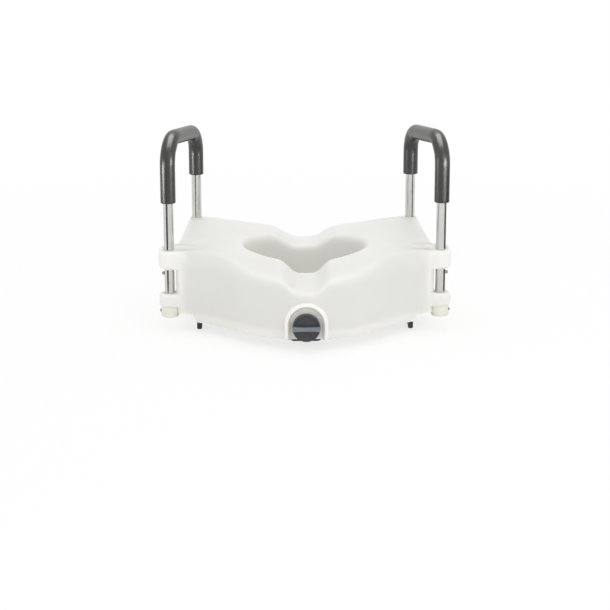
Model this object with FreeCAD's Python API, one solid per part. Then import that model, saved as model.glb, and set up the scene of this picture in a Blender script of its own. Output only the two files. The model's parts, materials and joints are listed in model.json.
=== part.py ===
# Raised toilet seat that locks to the bowl with a knob, with two removable padded arms.
#
# Working frame while modelling: X to the right of someone facing the seat, Y from the knob towards
# the cistern, Z up. Y = 0 is the plane of the two front arm legs and Z = 0 is the skirt's lower edge.
# On export everything is shifted, so that the origin is under the middle of the footprint,
# on the plane that the tabs and hooks stand on.
import FreeCAD
import Part
import os
from math import sin, cos, asin, atan2, pi, radians, sqrt

V = FreeCAD.Vector
UP, RIGHT, BACK = V(0, 0, 1), V(1, 0, 0), V(0, 1, 0)

# ---- arms ----
front_leg_x = 256.2        # both arms' front legs stand in the plane Y = 0
rear_leg_inset = 45.2      # how much nearer the middle the rear legs stand
rear_leg_y = 205.0
tube_radius, tube_wall = 9.525, 1.2
bar_front_height, bar_rear_height = 346.5, 323.5
bend_radius = 45.0
foam_thickness, grip_play = 4.725, 0.05
grip_front_end, grip_rear_end = 225.5, 238.0
leg_play = 0.08            # radial clearance of a leg in its sockets
leg_rest_gap = 0.3         # between a leg's plug and the floor of its socket
plug_flange, plug_length, plug_play, plug_chamfer = 2.0, 12.0, 0.05, 0.8
button_height, spare_hole_height = 90.0, 61.0
button_radius, button_reach, button_play, button_round = 3.1, 4.4, 0.12, 1.8
clip_thickness, clip_width, clip_drop, clip_bend, clip_gap = 0.8, 7.0, 24.0, 4.0, 0.3
button_seat = 6.0          # half the height of the clip's upright end, behind the button

# ---- seat body in plan ----
nose_front = -144.0        # front of the body
nose_radius = 176.0
flare_radius = 300.0       # hollow flare between the nose and the front boss
side_start = 6.1           # Y of the centre of the body's front corner, inside the front leg
window_gap = 3.7           # between a front leg and the body's side
rear_margin = 18.2         # from a rear leg's axis to the body's side and rear edge
front_corner_radius, rear_corner_radius = 18.0, 22.0
wing_width = 31.0          # outside the skirt the body is only a wing
skirt_wall, skirt_slant = 5.0, 8.0

# ---- seat body heights ----
side_height_front = 141.0  # sitting surface beside the front legs
side_height_rear = 149.5   # and beside the rear legs
dish_front, dish_middle, dish_rear = 23.0, 7.0, 17.0   # how far the middle lies below the sides
dish_front_gap, dish_front_run = 70.0, 115.0           # where the front starts to fall, ahead of the opening's centre
dish_inner, dish_margin = 55.0, 28.0
front_scoop_depth, front_scoop_run, front_scoop_narrow, front_scoop_wide = 24.0, 135.0, 14.0, 50.0
rear_scoop_depth, rear_scoop_run, rear_scoop_narrow, rear_scoop_wide = 25.0, 70.0, 14.0, 68.0
step_height = 5.5          # the front deck lies this much lower, behind each front boss
step_start, step_slope, step_width, step_spread = 2.0, 0.6, 9.0, 0.25
step_inset, step_fade = 113.0, 80.0
shoulder_setback, nose_shoulder, front_shoulder, shoulder_grow = 15.0, 12.0, 27.0, 150.0
boss_setback, boss_shoulder = 7.0, 8.0
side_shoulder, rear_shoulder = 13.0, 10.0
wall = 3.6                 # blow-moulded skin
wing_bottom = 13.5
rest_plane = 14.0          # the underside that faces the bowl's rim

# ---- opening ----
opening_centre = 60.0
opening_half_width = 116.0
opening_rear_reach = 74.0
lip_round, lip_side_round = 13.0, 22.0   # rounding of the opening's upper edge, at the front and rear and at its sides
lock_margin = 4.6          # from the lock's cover to the opening

# ---- leg sockets ----
boss_wall = 10.475
boss_web_front, boss_web_rear = 30.0, 8.0   # radii of the hollows beside a front boss
upper_boss_bottom, lower_boss_top, lower_boss_bottom = 99.0, 52.0, 27.0
upper_boss_round, lower_boss_round, boss_foot_round = 6.0, 4.0, 3.0
window_corner, window_corner_y, window_recess, window_rear = 8.0, -4.0, 0.6, 32.0
collar_wall, spigot_wall, collar_spigot, collar_round = 7.075, 3.475, 20.0, 2.5
collar_bottom, collar_floor, collar_play, collar_side_gap = 6.0, 3.0, 0.05, 0.3
collar_pin_height, collar_pin_radius, collar_pin_reach, collar_pin_round = 17.5, 3.2, 1.6, 1.4
rear_socket_floor = 45.0
bush_wall, bush_lip, bush_flange, bush_depth, bush_sink, bush_round = 2.475, 1.2, 2.4, 22.0, 1.0, 1.0

# ---- lock: knob, screw and sliding jaw ----
knob_radius, knob_length, knob_gap = 25.5, 20.0, 0.6
knob_rib_height, rib_width, rib_round = 7.5, 9.0, 2.5
knob_hub, knob_shell, knob_back_depth = 11.0, 2.6, 7.0
finger_gap, pocket_flare = 3.0, 6.0     # around the knob at the back of its pocket, and the pocket's widening
surround_wall, surround_rise, surround_proud, surround_round = 5.5, 6.5, 7.5, 5.0
pocket_depth, lock_wall = 4.0, 4.0      # pocket's back from the nose, and the wall behind it
screw_radius, screw_pitch, screw_play = 5.0, 3.0, 0.05
screw_in_knob, screw_chamfer, screw_end_gap = 9.0, 1.2, 2.0
roll_pin_radius, roll_pin_length, roll_pin_setback, roll_pin_play = 1.5, 20.0, 5.0, 0.02
bush_skin, bush_length = 2.5, 18.0
washer_margin, washer_thickness = 3.5, 1.2
clip_ring_thickness, groove_depth, groove_play = 1.0, 0.8, 0.03
channel_half_width, slide_play = 17.0, 0.4
slide_length, slide_gap = 35.0, 0.8     # the slide block, and its gap to the retaining ring when clamped hardest
rim_grip = 44.0            # front rim between the lock's wall and the jaw's pad, when clamped
jaw_thickness, jaw_half_width, jaw_neck, neck_half_width, jaw_round = 8.0, 30.0, 2.5, 11.0, 8.0
jaw_rib, jaw_rib_foot, jaw_rib_inset = 4.0, 6.0, 6.0
pad_thickness, pad_margin, pad_round = 4.0, 3.0, 5.0
jaw_travel = 12.0          # each way from where it clamps an ordinary rim
nut_side, nut_edge, nut_thickness, nut_play, nut_floor = 3.0, 1.4, 8.0, 0.05, 0.7
cover_thickness, cover_side, cover_front_margin, cover_margin, cover_play = 2.0, 13.0, 4.0, 6.0, 0.1
cover_screw_inset = 6.0

# ---- feet, hooks, pads and screws under the body ----
tab_drop = 20.0            # how far the tabs and hooks hang below the skirt
jaw_lift = 1.0             # the jaw ends this much higher
tab_play, tab_thickness, tab_length, tab_front, tab_plate, tab_round = 1.7, 9.3, 30.0, -6.0, 46.0, 3.9
tab_screw_inset = 12.0
hook_x, hook_width, hook_thickness, hook_lip, hook_lip_height = 58.0, 34.0, 9.0, 12.0, 8.0
hook_plate, hook_round, hook_screw_spread, hook_screw_setback = 44.0, 3.0, 9.0, 8.0
throat_gap = 1.0           # from the opening's wall to a hook
plate_thickness = 2.5
screw_shank, screw_head, screw_head_height, screw_length = 2.0, 4.0, 2.3, 13.0
head_round, drive_radius, drive_depth = 1.0, 1.6, 1.0
thread_play, post_radius, post_height = 0.05, 6.0, 17.0
rim_pad_length, rim_pad_width, rim_pad_thickness, rim_pad_round, rim_pad_offset = 34.0, 14.0, 5.0, 4.0, 44.0
rim_pad_angles = (45.0, 100.0, 130.0)

# ---- sizes that follow from the ones above ----
rear_leg_x = front_leg_x - rear_leg_inset
rear_edge = rear_leg_y + rear_margin
side_wall_x = front_leg_x - tube_radius - window_gap
skirt_half_width = side_wall_x - wing_width
recess_half_width = skirt_half_width - skirt_wall
boss_radius = tube_radius + boss_wall
collar_radius, collar_spigot_radius = tube_radius + collar_wall, tube_radius + spigot_wall
bush_radius = tube_radius + bush_wall
bush_flange_radius = bush_radius + bush_lip
grip_radius = tube_radius + foam_thickness
thrust_bush_radius, washer_radius = screw_radius + bush_skin, screw_radius + washer_margin
groove_radius = screw_radius - groove_depth
nut_half_width, nut_half_height = screw_radius + nut_side, screw_radius + nut_edge
slide_bottom = rest_plane + cover_thickness + slide_play
axis_height = slide_bottom + nut_floor + nut_half_height
channel_top = axis_height + nut_half_height + 4.1
pocket_radius = knob_radius + finger_gap
surround_radius = pocket_radius + pocket_flare + surround_wall
surround_height = axis_height + surround_rise
surround_front, pocket_back = nose_front - surround_proud, nose_front + pocket_depth
channel_front = pocket_back + bush_length
jaw_front = pocket_back + lock_wall + rim_grip + pad_thickness
slide_front = channel_front + washer_thickness + clip_ring_thickness + slide_gap + jaw_travel
slide_rear = slide_front + slide_length
channel_rear = slide_rear + jaw_travel + slide_play
cover_half_width = channel_half_width + cover_side
cover_front, cover_rear = channel_front + cover_front_margin, channel_rear + cover_margin
opening_front_reach = opening_centre - cover_rear - lock_margin
jaw_top = rest_plane - jaw_neck
tab_outer = recess_half_width - tab_play
hook_front = opening_centre + opening_rear_reach + throat_gap
knob_back = pocket_back - knob_gap
knob_front = knob_back - knob_length
far = 400.0                # longer than anything it cuts
frame_shift = V(0, -(knob_front + rear_edge) / 2, tab_drop)


# ---- small helpers ----
def cylinder(radius, length, base, direction=UP):
    return Part.makeCylinder(radius, length, base, direction)


def ring(outer, inner, length, base, direction=UP):
    return cylinder(outer, length, base, direction).cut(cylinder(inner, length, base, direction))


def block(x0, x1, y0, y1, z0, z1):
    return Part.makeBox(x1 - x0, y1 - y0, z1 - z0, V(x0, y0, z0))


def mirrored(shape):
    return shape.mirror(V(0, 0, 0), RIGHT)


def mirrored_point(point):
    return V(-point.x, point.y, point.z)


def both_sides(shape):
    return [shape, mirrored(shape)]


def on_axis(y):
    """A point on the lock screw's axis."""
    return V(0, y, axis_height)


def smooth(t):
    """0 below 0, 1 above 1, with level ends."""
    t = max(0.0, min(1.0, t))
    return t * t * (3 - 2 * t)


top_shares = (0.15, 0.3, 0.45, 0.6, 0.75, 0.9)   # control points across the sitting surface
wall_shares = (0, 0.33, 0.66)                     # and up the walls
evening_passes = 12


def edges_at_height(shape, z):
    return [e for e in shape.Edges if abs(e.BoundBox.ZMin - z) < 1e-4 and abs(e.BoundBox.ZMax - z) < 1e-4]


# ---- the body's outline ----
def normal(heading):
    """Outward normal of an outline that runs at this heading, in radians, with the body on its left."""
    return V(sin(heading), -cos(heading), 0)


def heading_of(normal_way):
    """Heading of an outline whose outward normal points this way."""
    return atan2(normal_way.x, -normal_way.y)


def meet(a, from_a, b, from_b, side):
    """The point at these distances from a and b, left (1) or right (-1) of the way from a to b."""
    way = b - a
    along = (from_a ** 2 - from_b ** 2 + way.Length ** 2) / (2 * way.Length)
    off = sqrt(from_a ** 2 - along ** 2)
    way.normalize()
    return a + way * along + V(-way.y, way.x, 0) * (side * off)


class Outline:
    """Arcs and lines of the right half, each named for its arc's centre or the heading where it ends."""
    leg = V(front_leg_x, 0, 0)
    nose = V(0, nose_front + nose_radius, 0)
    front = V(side_wall_x - front_corner_radius, side_start, 0)
    flare = meet(nose, nose_radius + flare_radius, front, flare_radius + front_corner_radius, -1)
    rear = V(rear_leg_x + rear_margin - rear_corner_radius, rear_edge - rear_corner_radius, 0)
    nose_end = heading_of(flare - nose)
    flare_end = heading_of(flare - front)
    # heading of the line that touches both corner arcs
    side = (atan2(rear.y - front.y, rear.x - front.x)
            - asin((front_corner_radius - rear_corner_radius) / (rear - front).Length))
    along_side = V(cos(side), sin(side), 0)
    side_foot = front + normal(side) * front_corner_radius
    # hollows that lead from the flare to the boss and from the boss to the side
    web = meet(flare, flare_radius - boss_web_front, leg, boss_radius + boss_web_front, 1)
    web_start, web_end = heading_of(flare - web), heading_of(web - leg)
    from_leg = side_foot + normal(side) * boss_web_rear - leg
    back = -from_leg.dot(along_side)
    back += sqrt(back ** 2 - from_leg.Length ** 2 + (boss_radius + boss_web_rear) ** 2)
    rear_web = leg + from_leg + along_side * back
    boss_end = heading_of(rear_web - leg) + 2 * pi

    @classmethod
    def side_at(cls, y, inset=0.0):
        """The point of the side at this Y."""
        start = cls.side_foot - normal(cls.side) * inset
        return start + cls.along_side * ((y - start.y) / cls.along_side.y)


def arc(centre, radius, first, last, steps):
    """Points and outward normals along an arc. A hollow arc has a negative radius."""
    turns = [first + (last - first) * (i + 0.5) / steps for i in range(steps)]
    return [(centre + normal(turn) * radius, normal(turn)) for turn in turns]


def line(first, last, steps, heading):
    return [(first + (last - first) * ((i + 0.5) / steps), normal(heading)) for i in range(steps)]


def front_edge(inset, with_boss):
    """Stations of the right half up to the side, as a point, its normal and its shoulder."""
    o = Outline
    hollow = -(flare_radius + inset)
    deck = [(p, n, Shoulder.on_deck(p)) for p, n in arc(o.nose, nose_radius - inset, 0, o.nose_end, 14)]
    if not with_boss:
        deck += [(p, n, Shoulder.on_deck(p)) for p, n in arc(o.flare, hollow, o.nose_end, o.flare_end, 9)]
        corner = arc(o.front, front_corner_radius - inset, o.flare_end, o.side, 5)
        return deck + [(p, n, Shoulder.on_side) for p, n in corner]
    deck += [(p, n, Shoulder.on_deck(p)) for p, n in arc(o.flare, hollow, o.nose_end, o.web_start, 9)]
    web = arc(o.web, -(boss_web_front + inset), o.web_start, o.web_end, 5)
    for i, (p, n) in enumerate(web):
        deck.append((p, n, Shoulder.on_deck(p).toward(Shoulder.on_boss, smooth((i + 0.5) / len(web)))))
    boss = arc(o.leg, boss_radius - inset, o.web_end, o.boss_end, 12)
    web = arc(o.rear_web, -(boss_web_rear + inset), o.boss_end, o.side, 4)
    return deck + [(p, n, Shoulder.on_boss) for p, n in boss + web]


def stations(inset=0.0, with_boss=True):
    """Stations of the right half, from front centre to rear centre."""
    o = Outline
    inward = normal(o.side) * inset
    start = o.rear_web + o.along_side * 3 - normal(o.side) * boss_web_rear if with_boss else o.side_foot
    corner = o.rear + normal(o.side) * rear_corner_radius
    back = o.rear + normal(pi) * (rear_corner_radius - inset)
    side = line(start - inward, corner - inward, 10, o.side)
    sides = []
    for i, (p, n) in enumerate(side):
        sides.append((p, n, Shoulder.on_boss.toward(Shoulder.on_side, smooth((i + 1) / 4) if with_boss else 1)))
    round_corner = arc(o.rear, rear_corner_radius - inset, o.side, pi, 5)
    rear = line(back, V(0, back.y, 0), 13, pi)
    return (front_edge(inset, with_boss) + sides + [(p, n, Shoulder.on_side) for p, n in round_corner]
            + [(p, n, Shoulder.on_rear) for p, n in rear])


class Shoulder:
    """The rounding from the sitting surface to the wall: its setback, its drop, and 0 round to 1 bevelled."""
    round_way = [(0, -1.9), (0, -1.15), (0, -0.6), (0.2, -0.18), (0.62, 0), (1.15, 0)]
    bevel_way = [(0, -1.25), (0, -1.06), (0.06, -0.9), (0.42, -0.4), (0.8, -0.05), (1.15, 0)]

    def __init__(self, setback, drop, bevel=0.0):
        self.setback, self.drop, self.bevel = setback, drop, bevel

    @classmethod
    def on_deck(cls, point):
        """The front deck's shoulder grows deeper and more bevelled from the nose to the boss."""
        out = abs(point.x)
        drop = nose_shoulder + (front_shoulder - nose_shoulder) * smooth(out / shoulder_grow)
        return cls(shoulder_setback, drop, smooth((out - shoulder_grow / 2) / shoulder_grow))

    def toward(self, other, share):
        mix = [a + (b - a) * share for a, b in ((self.setback, other.setback), (self.drop, other.drop),
                                                (self.bevel, other.bevel))]
        return Shoulder(*mix)

    def steps(self, shrink):
        """Control points from the wall up to the surface, as the way in and the way down."""
        back, down = self.setback - shrink, self.drop - shrink
        return [((a + (c - a) * self.bevel) * back, (b + (d - b) * self.bevel) * down)
                for (a, b), (c, d) in zip(self.round_way, self.bevel_way)]


Shoulder.on_boss = Shoulder(boss_setback, boss_shoulder)
Shoulder.on_side = Shoulder(side_shoulder, side_shoulder)
Shoulder.on_rear = Shoulder(rear_shoulder, rear_shoulder)


def throat_radius(angle):
    """Polar radius of the opening about its centre. Angle 0 looks to the front."""
    reach = opening_front_reach if cos(angle) > 0 else opening_rear_reach
    return 1 / sqrt((sin(angle) / opening_half_width) ** 2 + (cos(angle) / reach) ** 2)


def dish_depth(y):
    """How far the sitting surface lies below its sides, across the line at this Y."""
    front = smooth((opening_centre - dish_front_gap - y) / dish_front_run)
    rear = smooth((y - opening_centre) / (rear_edge - opening_centre))
    return dish_middle + (dish_front - dish_middle) * front + (dish_rear - dish_middle) * rear


def seat_height(x, y):
    """Height of the sitting surface, before its edges are rounded."""
    u = abs(x)
    high = side_height_front + (side_height_rear - side_height_front) * y / rear_leg_y
    high -= dish_depth(y) * (1 - smooth((u - dish_inner) / (side_wall_x - dish_margin - dish_inner)))
    front = smooth((opening_centre - y) / front_scoop_run)
    high -= front_scoop_depth * front * (1 - smooth((u - front_scoop_narrow) / (front_scoop_wide - front_scoop_narrow)))
    rear = smooth((y - opening_centre) / rear_scoop_run)
    high -= rear_scoop_depth * rear * (1 - smooth((u - rear_scoop_narrow) / (rear_scoop_wide - rear_scoop_narrow)))
    inward = max(0.0, side_wall_x - u)
    crease = (step_start + inward * step_slope - y) / (step_width + inward * step_spread)
    return high - step_height * smooth(crease + 0.5) * smooth((u - side_wall_x + step_inset) / step_fade)


def throat_angles(points):
    """Where each station's row starts on the opening, evened out so that the rows spread."""
    angles = [atan2(p.x, opening_centre - p.y) for p in points]
    for _ in range(evening_passes):
        ring_of = [-angles[0]] + angles + [2 * pi - angles[-1]]
        angles = [(a + 2 * b + c) / 4 for a, b, c in zip(ring_of, ring_of[1:], ring_of[2:])]
    return angles


def ring_skin(inset, bottom, with_boss=True):
    """The ring-shaped body as one closed solid on a flat bottom, with every wall moved in by inset."""
    half = stations(inset, with_boss)
    rows = [(p, n, s, a) for (p, n, s), a in zip(half, throat_angles([p for p, n, s in half]))]
    rows += [(mirrored_point(p), mirrored_point(n), s, -a) for p, n, s, a in reversed(rows)]
    net = []
    for wall_point, out, shoulder, angle in rows:
        away = V(sin(angle), -cos(angle), 0)
        throat = V(0, opening_centre, 0) + away * (throat_radius(angle) + inset)
        shrink = inset * 0.5
        lip = lip_round + (lip_side_round - lip_round) * sin(angle) ** 2 - shrink
        inner = [(throat + away * (s * lip), z * lip) for s, z in Shoulder.round_way]
        outer = [(wall_point - out * s, z) for s, z in reversed(shoulder.steps(shrink))]
        last_in, first_out = inner[-1][0], outer[0][0]
        top = [(last_in + (first_out - last_in) * t, 0) for t in top_shares]
        row = [V(p.x, p.y, seat_height(p.x, p.y) - inset + z) for p, z in inner + top + outer]
        inside = [V(row[0].x, row[0].y, bottom + (row[0].z - bottom) * t) for t in wall_shares]
        outside = [V(row[-1].x, row[-1].y, bottom + (row[-1].z - bottom) * t) for t in reversed(wall_shares)]
        net.append(inside + row + outside)
    around, across = len(net), len(net[0])
    skin = Part.BSplineSurface()
    skin.buildFromPolesMultsKnots(
        net, [1] * (around + 1), [4] + [1] * (across - 4) + [4],
        list(range(around + 1)), list(range(across - 2)), True, False, 3, 3)
    face = skin.toShape()
    rims = sorted((e for e in face.Edges if e.isClosed() and e.BoundBox.ZLength < 1e-6), key=lambda e: e.Length)
    floor = Part.Face([Part.Wire(rims[1]), Part.Wire(rims[0])])
    solid = Part.makeSolid(Part.makeShell([face, floor]))
    solid.fix(1e-5, 1e-5, 1e-4)
    return solid


# ---- the moulded body ----
def rim_recess():
    """The space under the body that the bowl's rim fills, open at the back."""
    o = Outline
    end = asin((o.flare.x - recess_half_width) / (flare_radius + skirt_wall))

    def nose_at(angle):
        return o.nose + normal(angle) * (nose_radius - skirt_wall)

    def flare_at(angle):
        return o.flare - normal(angle) * (flare_radius + skirt_wall)

    nose = Part.Arc(nose_at(o.nose_end), nose_at(0), nose_at(-o.nose_end)).toShape()
    flare = Part.Arc(flare_at(end), flare_at((end + o.nose_end) / 2), flare_at(o.nose_end)).toShape()
    corner, back = flare_at(end), V(recess_half_width, rear_edge + far, 0)
    side = Part.makeLine(corner, back)
    edges = [nose, flare, mirrored(flare), side, mirrored(side), Part.makeLine(back, mirrored_point(back))]
    face = Part.Face(Part.Wire(Part.sortEdges(edges)[0]))
    face.translate(V(0, 0, -1))
    return face.extrude(V(0, 0, rest_plane + 1))


def wing_cut():
    """Under the wings, outside the skirt, with the skirt's end slanted."""
    foot = skirt_half_width - skirt_slant
    corners = [V(foot - 1, 0, -wing_bottom / skirt_slant), V(skirt_half_width, 0, wing_bottom), V(far, 0, wing_bottom),
               V(far, 0, -wing_bottom / skirt_slant)]
    face = Part.Face(Part.makePolygon(corners + corners[:1]))
    face.translate(V(0, nose_front, 0))
    return face.extrude(V(0, rear_edge - nose_front + 10, 0))


def tongue(low_radius, low, high_radius, high):
    """A boss's tapered end: a cone about the leg, drawn out sideways into the body."""
    cone = Part.makeCone(low_radius, high_radius, high - low, V(front_leg_x, 0, low))
    profile = [V(front_leg_x, -low_radius, low), V(front_leg_x, low_radius, low),
               V(front_leg_x, high_radius, high), V(front_leg_x, -high_radius, high)]
    web = Part.Face(Part.makePolygon(profile + profile[:1])).extrude(V(-far / 4, 0, 0))
    return cone.fuse(web)


def boss_cuts():
    """Everything that stands beside the leg above, below and between the two front bosses."""
    o = Outline
    centre = o.side_at(window_corner_y, window_recess + window_corner)
    first, middle, last = (centre + normal(turn) * window_corner for turn in (pi / 4, o.side - pi / 8, o.side))
    slant = first - V(far, far, 0)
    back = o.side_at(window_rear, window_recess)
    outer = [back, V(far, window_rear, 0), V(far, slant.y, 0), slant, first]
    edges = [Part.Arc(first, middle, last).toShape(), Part.makeLine(last, back)]
    edges += [Part.makeLine(a, b) for a, b in zip(outer, outer[1:])]
    plan = Part.Face(Part.Wire(edges))

    def slab(low, high):
        face = plan.copy()
        face.translate(V(0, 0, low))
        return face.extrude(V(0, 0, high - low))

    wide = boss_radius + 0.5
    foot, top = upper_boss_bottom, lower_boss_top
    cuts = [slab(-1, lower_boss_bottom), slab(top, foot)]
    cuts.append(slab(foot - 0.01, foot + upper_boss_round).cut(
        tongue(boss_radius - upper_boss_round, foot - 0.01, wide, foot + upper_boss_round + 0.5)))
    cuts.append(slab(top - lower_boss_round, top + 0.01).cut(
        tongue(wide, top - lower_boss_round - 0.5, boss_radius - lower_boss_round, top + 0.01)))
    low = lower_boss_bottom
    cuts.append(slab(low - 0.01, low + boss_foot_round).cut(
        tongue(boss_radius - boss_foot_round, low - 0.01, wide, low + boss_foot_round + 0.5)))
    return cuts


def arch_wire(radius, y):
    """An upright arch, seen from the front, that stands on the skirt's lower edge."""
    left, right, crown = V(-radius, y, surround_height), V(radius, y, surround_height), V(0, y, surround_height + radius)
    feet = V(radius, y, -far / 8), V(-radius, y, -far / 8)
    return Part.Wire([Part.Arc(left, crown, right).toShape(), Part.makeLine(right, feet[0]),
                      Part.makeLine(feet[0], feet[1]), Part.makeLine(feet[1], left)])


def arch(radius, y0, y1, end_radius=None):
    return Part.makeLoft([arch_wire(radius, y0), arch_wire(end_radius or radius, y1)], True)


def below_skirt():
    return block(-far, far, -far, far, -far, 0)


def surround():
    shape = arch(surround_radius, surround_front, pocket_back + lock_wall)
    front = [e for e in shape.Edges if e.BoundBox.YMax < surround_front + 1e-4]
    return shape.makeFillet(surround_round, front).cut(below_skirt())


def body_screws():
    """Base points of the upward screws under the body: tabs, hooks and lock cover, by node."""
    tab_y = (tab_front + tab_length * 0.25, tab_front + tab_length * 0.75)
    tab_x = tab_outer - tab_plate + tab_screw_inset
    hook_y = hook_front + hook_thickness + hook_lip + hook_screw_setback
    hook_xs = (hook_x - hook_screw_spread, hook_x + hook_screw_spread)
    cover_x = cover_half_width - cover_screw_inset
    cover_y = (cover_front + screw_head + 1, cover_rear - screw_head - 1)
    plate = rest_plane - plate_thickness
    return {
        "side_tab_screws": [V(s * tab_x, y, plate) for s in (1, -1) for y in tab_y],
        "rear_hook_screws": [V(s * x, hook_y, plate) for s in (1, -1) for x in hook_xs],
        "lock_cover_screws": [V(s * cover_x, y, rest_plane) for s in (1, -1) for y in cover_y],
    }


def solid_zones():
    """Where the body's sealed hollow keeps clear of whatever is screwed or bored into it."""
    half = cover_half_width + wall
    zones = [block(-half, half, nose_front, cover_rear + wall, 0, channel_top + wall),
             arch(surround_radius, nose_front, channel_front)]
    zones += both_sides(cylinder(bush_radius + wall, far, V(rear_leg_x, rear_leg_y, 0)))
    for points in body_screws().values():
        zones += [cylinder(post_radius, rest_plane + post_height, V(p.x, p.y, 0)) for p in points]
    return zones


def socket_cuts():
    """Bores and seats for the right arm's two legs."""
    bore = tube_radius + leg_play
    foot, rear = V(front_leg_x, 0, lower_boss_bottom), V(rear_leg_x, rear_leg_y, 0)
    return [cylinder(bore, far, foot),
            cylinder(collar_spigot_radius + collar_play, collar_spigot + 1, foot - UP),
            cylinder(collar_radius + collar_side_gap, lower_boss_bottom, V(front_leg_x, 0, 0)),
            cylinder(bore, far, rear + UP * rear_socket_floor),
            cylinder(bush_radius + collar_play, far, rear + UP * (bush_seat() - bush_depth)),
            cylinder(bush_flange_radius + collar_side_gap, far, rear + UP * bush_seat())]


def seat_body():
    body = ring_skin(0, 0).cut(both_sides(wing_cut()) + [rim_recess()])
    for cut in boss_cuts():
        body = body.cut(both_sides(cut))
    body = body.fuse(surround())
    body = body.cut(ring_skin(wall, rest_plane + wall, False).cut(solid_zones()))

    cuts = []
    for cut in socket_cuts():
        cuts += both_sides(cut)
    cuts.append(arch(pocket_radius + pocket_flare, surround_front - 1, pocket_back, pocket_radius))
    cuts.append(cylinder(thrust_bush_radius, bush_length, on_axis(pocket_back), BACK))
    cuts.append(block(-channel_half_width, channel_half_width, channel_front, channel_rear, 0, channel_top))
    side = cover_half_width + cover_play
    cuts.append(block(-side, side, cover_front - cover_play, cover_rear + cover_play, 0, rest_plane + cover_thickness))
    for points in body_screws().values():
        cuts += [cylinder(screw_shank + thread_play, screw_length, p) for p in points]
    return body.cut(cuts)


def bush_seat():
    """Height of the flat seat that a rear bush's flange lies on."""
    return seat_height(rear_leg_x, rear_leg_y) - bush_sink


# ---- leg sockets ----
def leg_collar():
    top = lower_boss_bottom
    foot = V(front_leg_x, 0, collar_bottom)
    shape = cylinder(collar_radius, top - collar_bottom, foot)
    shape = shape.makeFillet(collar_round, edges_at_height(shape, collar_bottom))
    shape = shape.fuse(cylinder(collar_spigot_radius, collar_spigot, V(front_leg_x, 0, top))).removeSplitter()
    shape = shape.cut(cylinder(tube_radius + leg_play, 200, foot + UP * collar_floor))
    hole = cylinder(collar_pin_radius + collar_play, 40, V(front_leg_x, 0, collar_pin_height), RIGHT)
    return shape.cut(hole)


def collar_pin():
    start = front_leg_x + tube_radius + leg_play + 0.4
    end = front_leg_x + collar_radius + collar_pin_reach
    shape = cylinder(collar_pin_radius, end - start, V(start, 0, collar_pin_height), RIGHT)
    return shape.makeFillet(collar_pin_round, [e for e in shape.Edges if e.BoundBox.XMin > end - 1e-4])


def rear_bush():
    seat = V(rear_leg_x, rear_leg_y, bush_seat())
    shape = cylinder(bush_flange_radius, bush_flange, seat)
    shape = shape.makeFillet(bush_round, edges_at_height(shape, seat.z + bush_flange))
    shape = shape.fuse(cylinder(bush_radius, bush_depth, seat - UP * bush_depth)).removeSplitter()
    return shape.cut(cylinder(tube_radius + leg_play, 200, seat - UP * 100))


# ---- arms ----
def front_leg_end():
    return collar_bottom + collar_floor + leg_rest_gap + plug_flange


def rear_leg_end():
    return rear_socket_floor + leg_rest_gap + plug_flange


def arm_path(front_end, rear_end):
    """Centre line of an arm: up the front leg, along the bar and down the rear leg."""
    points = [V(front_leg_x, 0, front_end), V(front_leg_x, 0, bar_front_height),
              V(rear_leg_x, rear_leg_y, bar_rear_height), V(rear_leg_x, rear_leg_y, rear_end)]
    edges, start = [], points[0]
    for before, corner, after in zip(points, points[1:], points[2:]):
        a, b = (before - corner).normalize(), (after - corner).normalize()
        half = a.getAngle(b) / 2
        reach = bend_radius / (sin(half) / cos(half))
        middle = corner + (a + b).normalize() * (bend_radius / sin(half) - bend_radius)
        edges.append(Part.makeLine(start, corner + a * reach))
        edges.append(Part.Arc(corner + a * reach, middle, corner + b * reach).toShape())
        start = corner + b * reach
    edges.append(Part.makeLine(start, points[-1]))
    return Part.Wire(edges)


def swept(path, radius):
    start = path.Edges[0].Vertexes[0].Point
    profile = Part.Wire(Part.makeCircle(radius, start, UP))
    return path.makePipeShell([profile], True, True)


def arm_tube():
    path = arm_path(front_leg_end(), rear_leg_end())
    shape = swept(path, tube_radius).cut(swept(path, tube_radius - tube_wall))
    for height, radius in ((button_height, button_radius + button_play), (spare_hole_height, button_radius)):
        shape = shape.cut(cylinder(radius, 20, V(front_leg_x, 0, height), RIGHT))
    return shape


def arm_grip():
    path = arm_path(grip_front_end, grip_rear_end)
    return swept(path, grip_radius).cut(swept(path, tube_radius + grip_play))


def leg_plugs():
    plugs = []
    for x, y, end in ((front_leg_x, 0, front_leg_end()), (rear_leg_x, rear_leg_y, rear_leg_end())):
        flange = cylinder(tube_radius - 0.1, plug_flange, V(x, y, end - plug_flange))
        flange = flange.makeChamfer(plug_chamfer, edges_at_height(flange, end - plug_flange))
        stem = cylinder(tube_radius - tube_wall - plug_play, plug_length, V(x, y, end))
        plugs.append(flange.fuse(stem).removeSplitter())
    return Part.makeCompound(plugs)


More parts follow.
